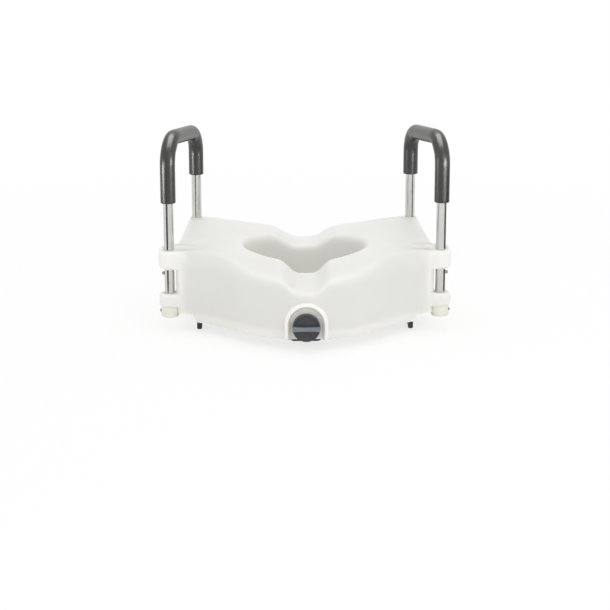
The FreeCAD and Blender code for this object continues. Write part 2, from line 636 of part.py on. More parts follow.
def snap_clip():
    """One strip of spring steel bent to a V inside the leg, with the button on its outer end."""
    inner = tube_radius - tube_wall
    out = sqrt(inner ** 2 - (clip_width / 2) ** 2) - clip_gap
    bend, low, high = clip_bend, button_height - clip_drop, button_height + button_seat
    right, left = front_leg_x + out, front_leg_x - out
    t = clip_thickness
    corners = [(right, high), (right, button_height - button_seat), (front_leg_x + bend, low),
               (front_leg_x - bend, low),
               (left, button_height), (left + t, button_height), (front_leg_x - bend + t, low + t),
               (front_leg_x + bend - t, low + t), (right - t, button_height - button_seat), (right - t, high)]
    points = [V(x, -clip_width / 2, z) for x, z in corners]
    strip = Part.Face(Part.makePolygon(points + points[:1])).extrude(V(0, clip_width, 0))
    reach = front_leg_x + tube_radius + button_reach
    button = cylinder(button_radius, reach - right + t, V(right - t, 0, button_height), RIGHT)
    button = button.makeFillet(button_round, [e for e in button.Edges if e.BoundBox.XMin > reach - 1e-4])
    return strip.fuse(button).removeSplitter()


# ---- lock ----
def lock_knob():
    body = cylinder(knob_radius, knob_length, on_axis(knob_front), BACK)
    rib_foot = knob_front + knob_rib_height
    grip = cylinder(knob_radius + 1, knob_rib_height + 1, on_axis(knob_front - 1), BACK)
    rib = block(-far, far, knob_front - 2, rib_foot, axis_height - rib_width / 2, axis_height + rib_width / 2)
    body = body.cut(grip.cut(rib))
    crest = [e for e in body.Edges if e.BoundBox.YMax < knob_front + 1e-4 and e.BoundBox.XLength > 1]
    body = body.makeFillet(rib_round, crest)
    back = ring(knob_radius - knob_shell, knob_hub, knob_back_depth, on_axis(knob_back - knob_back_depth), BACK)
    bore = cylinder(screw_radius + screw_play, screw_in_knob, on_axis(knob_back - screw_in_knob), BACK)
    return body.cut([back, bore, roll_pin(roll_pin_play)])


def roll_pin(play=0.0):
    """The pin through knob and screw, or its hole when given some play."""
    length = roll_pin_length + play
    return cylinder(roll_pin_radius + play, length, V(-length / 2, knob_back - roll_pin_setback, axis_height), RIGHT)


def lead_screw():
    start, end = knob_back - screw_in_knob, channel_rear - screw_end_gap
    shape = cylinder(screw_radius, end - start, on_axis(start), BACK)
    shape = shape.makeChamfer(screw_chamfer, [e for e in shape.Edges if e.BoundBox.YMin > end - 1e-4])
    groove = ring(screw_radius + 1, groove_radius, clip_ring_thickness + 2 * groove_play,
                  on_axis(channel_front + washer_thickness), BACK)
    return shape.cut([groove, roll_pin(roll_pin_play)])


def thrust_bush():
    return ring(thrust_bush_radius, screw_radius + screw_play, bush_length, on_axis(pocket_back), BACK)


def thrust_washer():
    return ring(washer_radius, screw_radius + screw_play, washer_thickness, on_axis(channel_front), BACK)


def retaining_ring():
    y = channel_front + washer_thickness
    shape = ring(washer_radius, groove_radius + groove_play, clip_ring_thickness, on_axis(y + groove_play), BACK)
    return shape.cut(block(-groove_radius, groove_radius, y, y + far, axis_height - far, axis_height))


def jaw_slide():
    side = channel_half_width - slide_play
    shape = block(-side, side, slide_front, slide_rear, slide_bottom, channel_top - slide_play)
    foot = jaw_lift - tab_drop
    plate = block(-jaw_half_width, jaw_half_width, jaw_front, jaw_front + jaw_thickness, foot, jaw_top)
    corners = [e for e in plate.Edges if e.BoundBox.YLength > jaw_thickness - 1e-3 and e.BoundBox.ZMax < foot + 1]
    plate = plate.makeFillet(jaw_round, corners)
    neck = block(-neck_half_width, neck_half_width, jaw_front, jaw_front + jaw_thickness, jaw_top - 1, slide_bottom + 1)
    heel = slide_rear - jaw_front - jaw_thickness
    ribs = []
    spread, y = jaw_half_width - jaw_rib_inset - jaw_rib / 2, jaw_front + jaw_thickness
    for middle in (-spread, 0, spread):
        x = middle - jaw_rib / 2
        web = [V(x, y, jaw_top), V(x, y + heel, jaw_top), V(x, y, foot + jaw_rib_foot)]
        ribs.append(Part.Face(Part.makePolygon(web + web[:1])).extrude(V(jaw_rib, 0, 0)))
    shape = shape.fuse([plate, neck] + ribs).removeSplitter()
    wide, play = nut_half_width + nut_play, nut_play
    pocket = block(-wide, wide, nut_front() - play, nut_front() + nut_thickness + play,
                   axis_height - nut_half_height - play, channel_top)
    return shape.cut([pocket, cylinder(screw_radius + slide_play, slide_length + 2, on_axis(slide_front - 1), BACK)])


def nut_front():
    return slide_front + (slide_length - nut_thickness) / 2


def travel_nut():
    y = nut_front()
    shape = block(-nut_half_width, nut_half_width, y, y + nut_thickness,
                  axis_height - nut_half_height, axis_height + nut_half_height)
    return shape.cut(cylinder(screw_radius + screw_play, nut_thickness, on_axis(y), BACK))


def jaw_pad():
    side = jaw_half_width - pad_margin
    shape = block(-side, side, jaw_front - pad_thickness, jaw_front, jaw_lift - tab_drop + pad_margin,
                  jaw_top - pad_margin)
    edges = [e for e in shape.Edges if e.BoundBox.YLength > pad_thickness - 1e-3]
    return shape.makeFillet(pad_round, edges)


def lock_cover():
    shape = block(-cover_half_width, cover_half_width, cover_front, cover_rear, rest_plane,
                  rest_plane + cover_thickness)
    slot = block(-neck_half_width - slide_play, neck_half_width + slide_play, jaw_front - jaw_travel - slide_play,
                 jaw_front + jaw_thickness + jaw_travel + slide_play, 0, channel_top)
    holes = [cylinder(screw_shank + thread_play, 20, V(p.x, p.y, 0)) for p in body_screws()["lock_cover_screws"]]
    return shape.cut([slot] + holes)


# ---- what hangs under the body ----
def side_tab():
    foot = -tab_drop
    leg = block(tab_outer - tab_thickness, tab_outer, tab_front, tab_front + tab_length, foot, rest_plane)
    leg = leg.makeFillet(tab_round, edges_at_height(leg, foot))
    plate = block(tab_outer - tab_plate, tab_outer, tab_front, tab_front + tab_length,
                  rest_plane - plate_thickness, rest_plane)
    shape = leg.fuse(plate).removeSplitter()
    return shape.cut([cylinder(screw_shank + thread_play, 40, V(p.x, p.y, 0))
                      for p in body_screws()["side_tab_screws"] if p.x > 0])


def rear_hook():
    x0, x1, foot = hook_x - hook_width / 2, hook_x + hook_width / 2, -tab_drop
    leg = block(x0, x1, hook_front, hook_front + hook_thickness, foot, rest_plane)
    lip = block(x0, x1, hook_front, hook_front + hook_thickness + hook_lip, foot, foot + hook_lip_height)
    plate = block(x0, x1, hook_front, hook_front + hook_plate, rest_plane - plate_thickness, rest_plane)
    shape = leg.fuse([lip, plate]).removeSplitter()
    tip = hook_front + hook_thickness + hook_lip
    shape = shape.makeFillet(hook_round, [e for e in shape.Edges if e.BoundBox.YMin > tip - 1e-3
                                          and e.BoundBox.ZMax < 0 and e.BoundBox.XLength > 1])
    return shape.cut([cylinder(screw_shank + thread_play, 40, V(p.x, p.y, 0))
                      for p in body_screws()["rear_hook_screws"] if p.x > 0])


def screw(base):
    """A pan-head screw driven up into the body, its head under the point base."""
    head = cylinder(screw_head, screw_head_height, base - UP * screw_head_height)
    head = head.makeFillet(head_round, edges_at_height(head, base.z - screw_head_height))
    drive = cylinder(drive_radius, drive_depth, base - UP * screw_head_height)
    return head.fuse(cylinder(screw_shank, screw_length, base)).removeSplitter().cut(drive)


def rim_pads():
    pads = []
    for angle in rim_pad_angles:
        turn = radians(angle)
        reach = throat_radius(turn) + rim_pad_offset
        pad = block(-rim_pad_length / 2, rim_pad_length / 2, -rim_pad_width / 2, rim_pad_width / 2,
                    -rim_pad_thickness, 0)
        upright = [e for e in pad.Edges if e.BoundBox.ZLength > rim_pad_thickness - 1e-3]
        pad = pad.makeFillet(rim_pad_round, upright)
        pad.rotate(V(0, 0, 0), UP, angle)
        pad.translate(V(reach * sin(turn), opening_centre - reach * cos(turn), rest_plane))
        pads += both_sides(pad)
    return Part.makeCompound(pads)


def nodes():
    pieces = {
        "seat_body": seat_body(), "lock_knob": lock_knob(), "knob_roll_pin": roll_pin(), "lead_screw": lead_screw(),
        "thrust_bush": thrust_bush(), "thrust_washer": thrust_washer(), "retaining_ring": retaining_ring(),
        "jaw_slide": jaw_slide(), "travel_nut": travel_nut(), "jaw_pad": jaw_pad(), "lock_cover": lock_cover(),
        "rim_pads": rim_pads(),
    }
    for name, points in body_screws().items():
        pieces[name] = Part.makeCompound([screw(p) for p in points])
    paired = {
        "arm_tube": arm_tube(), "arm_grip": arm_grip(), "leg_plugs": leg_plugs(), "snap_clip": snap_clip(),
        "leg_collar": leg_collar(), "collar_pin": collar_pin(), "rear_bush": rear_bush(),
        "side_tab": side_tab(), "rear_hook": rear_hook(),
    }
    for name, shape in paired.items():
        pieces["right_" + name] = shape
        pieces["left_" + name] = mirrored(shape)
    return pieces


os.makedirs("parts", exist_ok=True)
for name, shape in nodes().items():
    shape.translate(frame_shift)
    shape.exportStep("parts/" + name + ".step")
    print(name, len(shape.Solids), "solid(s)", shape.isValid(), round(shape.Volume), "mm3")
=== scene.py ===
import bpy
import bmesh
import json
from math import radians, sin, cos, pi, sqrt, exp
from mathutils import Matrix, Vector


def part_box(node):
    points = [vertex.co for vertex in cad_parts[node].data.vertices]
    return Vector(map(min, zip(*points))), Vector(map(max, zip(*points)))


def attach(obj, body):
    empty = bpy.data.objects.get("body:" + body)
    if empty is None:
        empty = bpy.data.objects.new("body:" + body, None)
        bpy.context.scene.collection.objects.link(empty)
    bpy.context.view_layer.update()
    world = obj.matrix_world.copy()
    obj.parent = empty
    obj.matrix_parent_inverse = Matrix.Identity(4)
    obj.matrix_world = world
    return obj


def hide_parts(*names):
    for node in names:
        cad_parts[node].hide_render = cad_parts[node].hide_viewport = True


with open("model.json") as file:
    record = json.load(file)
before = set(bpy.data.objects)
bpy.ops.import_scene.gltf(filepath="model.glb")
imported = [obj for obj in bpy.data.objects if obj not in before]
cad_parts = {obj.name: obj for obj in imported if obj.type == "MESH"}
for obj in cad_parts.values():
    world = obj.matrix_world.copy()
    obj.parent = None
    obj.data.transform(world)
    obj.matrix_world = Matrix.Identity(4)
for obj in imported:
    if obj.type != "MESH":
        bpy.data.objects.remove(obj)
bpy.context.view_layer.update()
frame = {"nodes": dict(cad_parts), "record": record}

scene = bpy.context.scene
nodes = frame["nodes"]


# ---- shader maths: a socket that can be added, multiplied and so on ----
noiseMiddle = (0.3, 0.7)   # most of a noise's values lie between these


class Wire:
    def __init__(self, tree, socket):
        self.tree, self.socket = tree, socket

    def node(self, kind, settings, inputs, out=0):   # any node, its settings first, then its sockets
        made = self.tree.nodes.new(kind)
        for key, value in settings.items():
            setattr(made, key, value)
        for key, value in inputs.items():
            if isinstance(value, Wire):
                self.tree.links.new(value.socket, made.inputs[key])
            else:
                made.inputs[key].default_value = value
        return Wire(self.tree, made.outputs[out])

    def maths(self, operation, first, second):
        return self.node("ShaderNodeMath", {"operation": operation}, {0: first, 1: second})

    def __add__(self, other):
        return self.maths("ADD", self, other)

    def __radd__(self, other):
        return self.maths("ADD", other, self)

    def __sub__(self, other):
        return self.maths("SUBTRACT", self, other)

    def __rsub__(self, other):
        return self.maths("SUBTRACT", other, self)

    def __mul__(self, other):
        return self.maths("MULTIPLY", self, other)

    def __rmul__(self, other):
        return self.maths("MULTIPLY", other, self)

    def __truediv__(self, other):
        return self.maths("DIVIDE", self, other)

    def __rtruediv__(self, other):
        return self.maths("DIVIDE", other, self)

    def clamped(self):
        return self.node("ShaderNodeClamp", {}, {"Value": self})

    def between(self, low, high):   # 0 at low, 1 at high, straight between
        return ((self - low) / (high - low)).clamped()

    def stretched(self, scale):
        return self.node("ShaderNodeMapping", {}, {"Vector": self, "Scale": scale})

    def noise(self, scale, detail):
        return self.node("ShaderNodeTexNoise", {}, {"Vector": self, "Scale": scale, "Detail": detail})

    def blend(self, tints):   # a colour between two, by this value
        return self.node("ShaderNodeMix", {"data_type": "RGBA"},
                         {"Factor": self, 6: tints[0], 7: tints[1]}, out=2)

    def mottled(self, tints):   # the same for noise, spread over both tints
        return self.between(*noiseMiddle).blend(tints)

    def bump(self, height, strength, under=None):
        inputs = {"Height": self, "Distance": height, "Strength": strength}
        if under:
            inputs["Normal"] = under
        return self.node("ShaderNodeBump", {}, inputs)


def bareTree(owner):   # of a new material or world
    owner.use_nodes = True
    owner.node_tree.nodes.clear()
    return owner.node_tree


def endTree(shader, kind="ShaderNodeOutputMaterial"):
    output = shader.tree.nodes.new(kind)
    shader.tree.links.new(shader.socket, output.inputs[0])


def startMaterial(name, fixed):   # an empty surface, the place on the object, and the shader
    material = bpy.data.materials.new(name)
    tree = bareTree(material)
    shader = tree.nodes.new("ShaderNodeBsdfPrincipled")
    endTree(Wire(tree, shader.outputs[0]))
    for key, value in fixed.items():
        shader.inputs[key].default_value = value
    place = tree.nodes.new("ShaderNodeTexCoord").outputs["Object"]
    return material, Wire(tree, place), shader


def feed(shader, color, roughness, normal):   # the sockets that vary over the surface
    for key, wire in (("Base Color", color), ("Roughness", roughness), ("Normal", normal)):
        wire.tree.links.new(wire.socket, shader.inputs[key])


def rgb(red, green, blue):   # a colour as it reads on screen, 0 to 255, in linear light (sRGB's curve)
    def linear(c):
        c /= 255
        return c / 12.92 if c <= 0.04045 else ((c + 0.055) / 1.055) ** 2.4
    return (linear(red), linear(green), linear(blue), 1)


# ---- materials: noise is (scale per metre, detail), bump is (height in metres, strength) ----
mouldedLook = {"tints": (rgb(244, 242, 233), rgb(248, 246, 239)), "cloud": (7, 3), "peel": (430, 2),
               "grain": (2400, 1), "sag": (34, 1), "sagLength": 0.12, "rough": 0.42, "roughSpread": 0.08,
               "peelShare": 0.6, "peelBump": (0.0003, 0.3), "sagBump": (0.004, 0.12),
               "fixed": {"Specular IOR Level": 0.4, "Subsurface Weight": 0.5,
                         "Subsurface Radius": (1.0, 0.95, 0.85), "Subsurface Scale": 0.02}}


def mouldedWhite():
    look = mouldedLook
    material, at, shader = startMaterial("moulded white", look["fixed"])
    cloud = at.noise(*look["cloud"])
    peel = at.noise(*look["peel"])
    grain = at.noise(*look["grain"])
    sag = at.stretched((1, 1, look["sagLength"])).noise(*look["sag"])   # faint waves of a blown wall
    skin = peel * look["peelShare"] + grain * (1 - look["peelShare"])
    feed(shader, cloud.mottled(look["tints"]),
         cloud * look["roughSpread"] + peel * look["roughSpread"] + look["rough"],
         skin.bump(*look["peelBump"], sag.bump(*look["sagBump"])))
    return material


grainedLooks = {   # plastics, rubber and plated steel: a mottled tint and a fine grain
    "ivory nylon": {"tints": (rgb(228, 225, 213), rgb(235, 232, 221)), "cloud": (60, 3), "grain": (1500, 2),
                    "rough": 0.32, "roughSpread": 0.15, "bump": (0.0002, 0.3),
                    "fixed": {"Specular IOR Level": 0.45}},
    "dark plastic": {"tints": (rgb(38, 38, 37), rgb(46, 46, 45)), "cloud": (80, 3), "grain": (1800, 3),
                     "rough": 0.35, "roughSpread": 0.2, "bump": (0.0002, 0.5),
                     "fixed": {"Specular IOR Level": 0.5}},
    "pin plastic": {"tints": (rgb(46, 36, 28), rgb(54, 44, 36)), "cloud": (80, 3), "grain": (1800, 3),
                    "rough": 0.35, "roughSpread": 0.2, "bump": (0.0002, 0.5),
                    "fixed": {"Specular IOR Level": 0.5}},
    "zinc steel": {"tints": (rgb(150, 148, 142), rgb(182, 180, 174)), "cloud": (300, 3), "grain": (2500, 2),
                   "rough": 0.22, "roughSpread": 0.25, "bump": (0.0001, 0.3), "fixed": {"Metallic": 1.0}},
    "pad rubber": {"tints": (rgb(44, 44, 45), rgb(56, 56, 57)), "cloud": (120, 3), "grain": (1600, 2),
                   "rough": 0.6, "roughSpread": 0.15, "bump": (0.0003, 0.5),
                   "fixed": {"Specular IOR Level": 0.3}},
}


def grained(name):
    look = grainedLooks[name]
    material, at, shader = startMaterial(name, look["fixed"])
    cloud = at.noise(*look["cloud"])
    feed(shader, cloud.mottled(look["tints"]), cloud * look["roughSpread"] + look["rough"],
         at.noise(*look["grain"]).bump(*look["bump"]))
    return material


# the pale blue-grey tint and its share are a painted highlight on the rib's front face
knobLook = {"tints": (rgb(46, 49, 53), rgb(55, 58, 62)), "paintedHighlight": rgb(118, 126, 133), "cloud": (80, 3),
            "grain": (1800, 3), "deck": -0.1846, "full": -0.1872, "highlightShare": 0.7, "highlightSpread": 0.5,
            "rough": 0.26, "roughSpread": 0.2, "bump": (0.0002, 0.4), "fixed": {"Specular IOR Level": 0.5}}


def knobPlastic():   # the rib, forward of the deck, has a painted highlight: its front face is coloured a pale blue-grey
    look = knobLook
    material, at, shader = startMaterial("knob plastic", look["fixed"])
    cloud = at.noise(*look["cloud"])
    forward = at.node("ShaderNodeSeparateXYZ", {}, {0: at}, out=1)
    # painted highlight: the rib's front face is blended towards the pale tint
    highlightMask = forward.between(look["deck"], look["full"]) * (cloud * look["highlightSpread"] + look["highlightShare"])
    feed(shader, highlightMask.clamped().blend((cloud.mottled(look["tints"]), look["paintedHighlight"])),
         cloud * look["roughSpread"] + look["rough"], at.noise(*look["grain"]).bump(*look["bump"]))
    return material


foamLook = {"tints": (rgb(50, 52, 48), rgb(58, 60, 56)), "cloud": (38, 4), "cloudRange": (0.25, 0.75),
            "skin": (620, 3), "pores": 1300, "poreShare": 0.5, "rough": 0.24, "roughSpread": 0.06,
            "poreBump": (0.0003, 0.1), "cloudBump": (0.001, 0.08), "fixed": {"Specular IOR Level": 0.4}}


def foamSkin():
    look = foamLook
    material, at, shader = startMaterial("charcoal foam", look["fixed"])
    cloud = at.noise(*look["cloud"])
    skin = at.noise(*look["skin"])
    pores = at.node("ShaderNodeTexVoronoi", {}, {"Vector": at, "Scale": look["pores"]})
    rind = pores * look["poreShare"] + skin * (1 - look["poreShare"])
    feed(shader, cloud.between(*look["cloudRange"]).blend(look["tints"]),
         skin * look["roughSpread"] + cloud * look["roughSpread"] + look["rough"],
         rind.bump(*look["poreBump"], cloud.bump(*look["cloudBump"])))
    return material


tubeLook = {"tints": (rgb(203, 203, 199), rgb(214, 214, 210)), "cloud": (30, 3), "lines": (1900, 2),
            "lineLength": 0.012, "rough": 0.12, "lineRough": 0.06, "cloudRough": 0.04,
            "bump": (0.00006, 0.3)}


def drawnAluminium():   # fine draw lines along the upright legs
    look = tubeLook
    material, at, shader = startMaterial("drawn aluminium", {"Metallic": 1.0})
    lines = at.stretched((1, 1, look["lineLength"])).noise(*look["lines"])
    cloud = at.noise(*look["cloud"])
    feed(shader, cloud.mottled(look["tints"]),
         lines * look["lineRough"] + cloud * look["cloudRough"] + look["rough"], lines.bump(*look["bump"]))
    return material


threadLook = {"tints": (rgb(120, 118, 112), rgb(180, 178, 172)), "cloud": (300, 3), "pitch": 0.003,
              "rough": 0.25, "roughSpread": 0.2, "bump": (0.0006, 0.8), "unitWave": pi / 10}


def threadedSteel():   # rolled thread along Y, drawn in the surface only, with painted shade in its roots and a painted highlight on its crests
    look = threadLook
    material, at, shader = startMaterial("threaded steel", {"Metallic": 1.0})
    turns = at.node("ShaderNodeTexWave",
                    {"wave_type": "BANDS", "bands_direction": "Y", "wave_profile": "TRI"},
                    {"Vector": at, "Scale": look["unitWave"] / look["pitch"]}, out=1)
    cloud = at.noise(*look["cloud"])
    # painted shade and highlight: the colour is darker in the thread's roots and lighter on its crests
    feed(shader, turns.blend(look["tints"]), cloud * look["roughSpread"] + look["rough"],
         turns.bump(*look["bump"]))
    return material


finishes = {
    "seat_plastic": mouldedWhite(), "collar_plastic": grained("ivory nylon"),
    "dark_plastic": grained("dark plastic"), "knob_plastic": knobPlastic(),
    "pin_plastic": grained("pin plastic"), "rubber": grained("pad rubber"), "foam": foamSkin(),
    "aluminium": drawnAluminium(), "steel": grained("zinc steel"),
}
slots = {part["node"]: part["material_slot"] for part in frame["record"]["subparts"]}
for name, node in nodes.items():
    node.data.materials.clear()
    node.data.materials.append(threadedSteel() if name == "lead_screw" else finishes[slots[name]])
print("finishes on", len(nodes), "nodes")


# ---- modelling helpers ----
matching = {"facing": 0.9, "along": 0.99, "level": 0.000001}   # how near a face or edge has to be


def nothingSelected():
    bpy.ops.object.select_all(action="DESELECT")


def startPiece(name):   # names the primitive just added and opens it for editing, all selected
    piece = bpy.context.object
    piece.name = name
    bpy.ops.object.mode_set(mode="EDIT")
    bpy.ops.mesh.select_all(action="SELECT")
    return piece


def addCylinder(name, around, radius, depth, place, pitch=0):   # pitch in degrees turns it about X
    nothingSelected()
    bpy.ops.mesh.primitive_cylinder_add(vertices=around, radius=radius, depth=depth, location=place,
                                        rotation=(radians(pitch), 0, 0))
    return startPiece(name)


def addBlock(name, size, place, turn=0):   # turn in radians, about Z
    nothingSelected()
    bpy.ops.mesh.primitive_cube_add(size=1, location=place, rotation=(0, 0, turn))
    block = startPiece(name)
    bpy.ops.transform.resize(value=size, orient_type="LOCAL")
    return block


def pick(piece, kind, wanted):   # selects in edit mode the edges or faces that a test names
    bpy.ops.mesh.select_all(action="DESELECT")
    bpy.ops.mesh.select_mode(type=kind)
    mesh = bmesh.from_edit_mesh(piece.data)
    for part in {"EDGE": mesh.edges, "FACE": mesh.faces}[kind]:
        if wanted(part):
            part.select_set(True)
    mesh.select_flush_mode()
    bmesh.update_edit_mesh(piece.data)


def pickCap(piece, side):   # the end face on that side of the piece's own Z
    pick(piece, "FACE", lambda face: abs(face.normal.z) > matching["facing"]
         and face.calc_center_median().z * side > 0)


def extrude(move):   # what is selected
    bpy.ops.mesh.extrude_region_move(TRANSFORM_OT_translate={"value": move})


def roundedBy(width, segments, sharpest=40):   # a bevel on every edge sharper than that angle
    return ("BEVEL", {"width": width, "segments": segments, "limit_method": "ANGLE",
                      "angle_limit": radians(sharpest)})


def finishPiece(piece, modifiers=(), smoothAngle=40):   # modifiers applied, place put into the mesh
    if piece.mode == "EDIT":
        bpy.ops.object.mode_set(mode="OBJECT")
    nothingSelected()
    piece.select_set(True)
    bpy.context.view_layer.objects.active = piece
    bpy.ops.object.transform_apply(location=True, rotation=True, scale=True)
    for kind, settings in modifiers:
        modifier = piece.modifiers.new(kind.lower(), kind)
        for key, value in settings.items():
            setattr(modifier, key, value)
        bpy.ops.object.modifier_apply(modifier=modifier.name)
    bpy.ops.object.shade_smooth_by_angle(angle=radians(smoothAngle))


def joined(pieces, name):
    nothingSelected()
    for piece in pieces:
        piece.select_set(True)
    bpy.context.view_layer.objects.active = pieces[0]
    bpy.ops.object.join()
    pieces[0].name = name
    pieces[0].data.name = name
    return pieces[0]


def dress(piece, slot, body, *hidden):   # material, body and the CAD nodes that it stands for
    piece.data.materials.clear()
    piece.data.materials.append(finishes[slot])
    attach(piece, body)
    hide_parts(*hidden)


# ---- foam grips ----
gripSizes = {"front": (0.2562, -0.0313), "rear": (0.2110, 0.1737), "frontTop": 0.3665, "rearTop": 0.3435,
             "frontFoot": 0.2455, "rearFoot": 0.2580, "bend": 0.045, "outer": 0.01425, "wall": 0.0046,
             "around": 40, "legSteps": 10, "bendSteps": 14, "barSteps": 14, "weld": 0.00001,
             "rim": 0.0011, "rimSteps": 3, "rimSharpest": 50, "smooth": 60,
             "pucker": 0.00035, "puckerReach": 0.004, "puckerWaves": 20, "puckerFade": 0.6}


def gripRoute(side):   # the corners of the arm's centre line
    size = gripSizes
    (fx, fy), (rx, ry) = size["front"], size["rear"]
    return [Vector((side * fx, fy, size["frontFoot"])), Vector((side * fx, fy, size["frontTop"])),
            Vector((side * rx, ry, size["rearTop"])), Vector((side * rx, ry, size["rearFoot"]))]


def foamGrip(side, name):
    size = gripSizes
    foot, frontTop, rearTop, end = gripRoute(side)
    nothingSelected()
    bpy.ops.mesh.primitive_circle_add(vertices=size["around"], radius=size["outer"], location=foot)
    grip = startPiece(name)

    def push(to, start, steps):
        for _ in range(steps):
            extrude((to - start) / steps)

    at = foot
    centres = []
    for corner, after, steps in ((frontTop, rearTop, size["legSteps"]), (rearTop, end, size["barSteps"])):
        back, on = (at - corner).normalized(), (after - corner).normalized()
        half = back.angle(on) / 2
        reach = size["bend"] / (sin(half) / cos(half))
        bendStart = corner + back * reach
        push(bendStart, at, steps)
        inward = (back + on).normalized()
        centre = corner + inward * size["bend"] / sin(half)
        axis = (bendStart - corner).cross(on).normalized()
        bpy.ops.mesh.spin(steps=size["bendSteps"], angle=pi - 2 * half, center=centre, axis=axis)
        centres.append((centre, inward))
        at = corner + on * reach
    push(end, at, size["legSteps"])
    bpy.ops.mesh.select_all(action="SELECT")
    bpy.ops.mesh.remove_doubles(threshold=size["weld"])
    bpy.ops.mesh.normals_make_consistent(inside=False)
    bpy.ops.object.mode_set(mode="OBJECT")
    for vert in grip.data.vertices:   # compressed foam puckers a little on the inside of each bend
        place = grip.matrix_world @ vert.co
        for centre, inward in centres:
            out = place - centre
            if out.length < size["bend"] + size["puckerReach"] and out.dot(inward) < 0:
                turn = out.angle(-inward)
                wave = cos(turn * size["puckerWaves"]) * exp(-(turn / size["puckerFade"]) ** 2)
                vert.co += vert.normal * size["pucker"] * wave
    finishPiece(grip, [("SOLIDIFY", {"thickness": size["wall"], "offset": -1.0}),
                       roundedBy(size["rim"], size["rimSteps"], size["rimSharpest"]),
                       ("SUBSURF", {"levels": 1, "render_levels": 1})], size["smooth"])
    sideName = "right" if side > 0 else "left"
    dress(grip, "foam", sideName + "_arm", sideName + "_arm_grip")
    return grip


foamOnly = bpy.data.collections.new("foam only")   # what the streak cards light
for side, name in ((1, "right_foam_grip"), (-1, "left_foam_grip")):
    foamOnly.objects.link(foamGrip(side, name))
print("foam grips modelled")


# ---- knob ----
knobSizes = {"radius": 0.0255, "around": 128, "edge": 0.0022, "slope": 1.5, "dish": 0.0012,
             "hollow": 0.0229, "hollowDepth": 0.007, "hub": 0.011, "hubAround": 64, "hubSink": 0.001,
             "bore": 0.00505, "boreDepth": 0.009, "ribHeight": 0.0075, "ribWidth": 0.0092, "ribSink": 0.002,
             "ribShort": 0.0012, "ribCuts": 11, "ribRound": 0.0024, "ribSteps": 4, "waist": 0.78,
             "voxel": 0.00045, "smooth": 60}


def knobDisc(deck, back, height):   # dished in front, hollow behind
    size = knobSizes
    disc = addCylinder("disc", size["around"], size["radius"], back - deck,
                       (0, (deck + back) / 2, height), 90)
    pickCap(disc, 1)
    bpy.ops.mesh.inset(thickness=size["edge"])
    bpy.ops.mesh.inset(thickness=size["edge"] * size["slope"])
    bpy.ops.transform.translate(value=(0, size["dish"], 0))
    pickCap(disc, -1)
    bpy.ops.mesh.inset(thickness=size["radius"] - size["hollow"])
    extrude((0, -size["hollowDepth"], 0))
    finishPiece(disc)
    return disc


def knobHub(back, height):   # stands in the hollow, bored for the screw
    size = knobSizes
    middle = back - size["hollowDepth"] / 2 - size["hubSink"] / 2
    hub = addCylinder("hub", size["hubAround"], size["hub"], size["hollowDepth"] + size["hubSink"],
                      (0, middle, height), 90)
    pickCap(hub, -1)
    bpy.ops.mesh.inset(thickness=size["hub"] - size["bore"])
    extrude((0, -size["boreDepth"], 0))
    finishPiece(hub)
    return hub


def knobRib(front, deck, height):   # narrower in the middle, and its ends follow the disc
    size = knobSizes
    rib = addBlock("rib", (2 * size["radius"] - size["ribShort"], size["ribHeight"] + size["ribSink"],
                           size["ribWidth"]), (0, (front + deck) / 2 + size["ribSink"] / 2, height))
    bpy.ops.mesh.subdivide(number_cuts=size["ribCuts"])
    mesh = bmesh.from_edit_mesh(rib.data)
    for vert in mesh.verts:
        along = min(1, abs(vert.co.x) / size["radius"])
        vert.co.z *= size["waist"] + (1 - size["waist"]) * along ** 2
        limit = sqrt(max(0, (size["radius"] - size["ribShort"] / 2) ** 2 - vert.co.z ** 2))
        vert.co.x = max(-limit, min(limit, vert.co.x))
    bmesh.update_edit_mesh(rib.data)
    finishPiece(rib, [roundedBy(size["ribRound"], size["ribSteps"])])
    return rib


def turnKnob():
    size = knobSizes
    low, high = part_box("lock_knob")
    front, back, height = low[1], high[1], (low[2] + high[2]) / 2
    deck = front + size["ribHeight"]
    disc = knobDisc(deck, back, height)
    hub = knobHub(back, height)
    rib = knobRib(front, deck, height)
    knob = joined([disc, rib, hub], "turn_knob")
    finishPiece(knob, [("REMESH", {"mode": "VOXEL", "voxel_size": size["voxel"]}),
                       ("SMOOTH", {"factor": 0.5, "iterations": 8})], size["smooth"])
    dress(knob, "knob_plastic", "lock_screw", "lock_knob")


turnKnob()
print("knob modelled")


# ---- pads under the seat and on the jaw ----
padSizes = {"size": (0.034, 0.014, 0.005), "corner": 0.004, "strips": 9, "cornerSteps": 6,
            "cut": 0.0013, "edge": 0.0006, "edgeSteps": 2, "jawCorner": 0.005, "jawStrips": 13,
            "angles": (45, 100, 130), "middleY": 0.0287, "halfWidth": 0.116, "frontReach": 0.109,
            "rearReach": 0.074, "out": 0.044}


def ribbedPad(name, middle, size, down, turn, corner, strips):   # grips on the side that down names
    pad = addBlock(name, size, middle)

    def isCorner(edge):
        first, second = edge.verts
        return abs((first.co - second.co).normalized().dot(down)) > matching["along"]

    pick(pad, "EDGE", isCorner)
    bpy.ops.mesh.bevel(offset=corner, segments=padSizes["cornerSteps"], affect="EDGES")
    strip = (size[0] - 2 * corner) / strips   # measured along X, every other strip is cut back
    for step in range(strips + 1):
        bpy.ops.mesh.select_all(action="SELECT")
        across = middle[0] + (step - strips / 2) * strip
        bpy.ops.mesh.bisect(plane_co=(across, middle[1], middle[2]), plane_no=(1, 0, 0))

    def isGroove(face):
        x = face.calc_center_median().x
        return (face.normal.dot(down) > matching["along"] and abs(x) < strips / 2 * strip
                and int(x / strip + strips / 2) % 2 == 1)

    pick(pad, "FACE", isGroove)
    extrude(-padSizes["cut"] * down)
    bpy.ops.mesh.select_all(action="SELECT")
    bpy.ops.transform.rotate(value=turn, orient_axis="Z", center_override=middle)
    finishPiece(pad, [roundedBy(padSizes["edge"], padSizes["edgeSteps"])])
    return pad


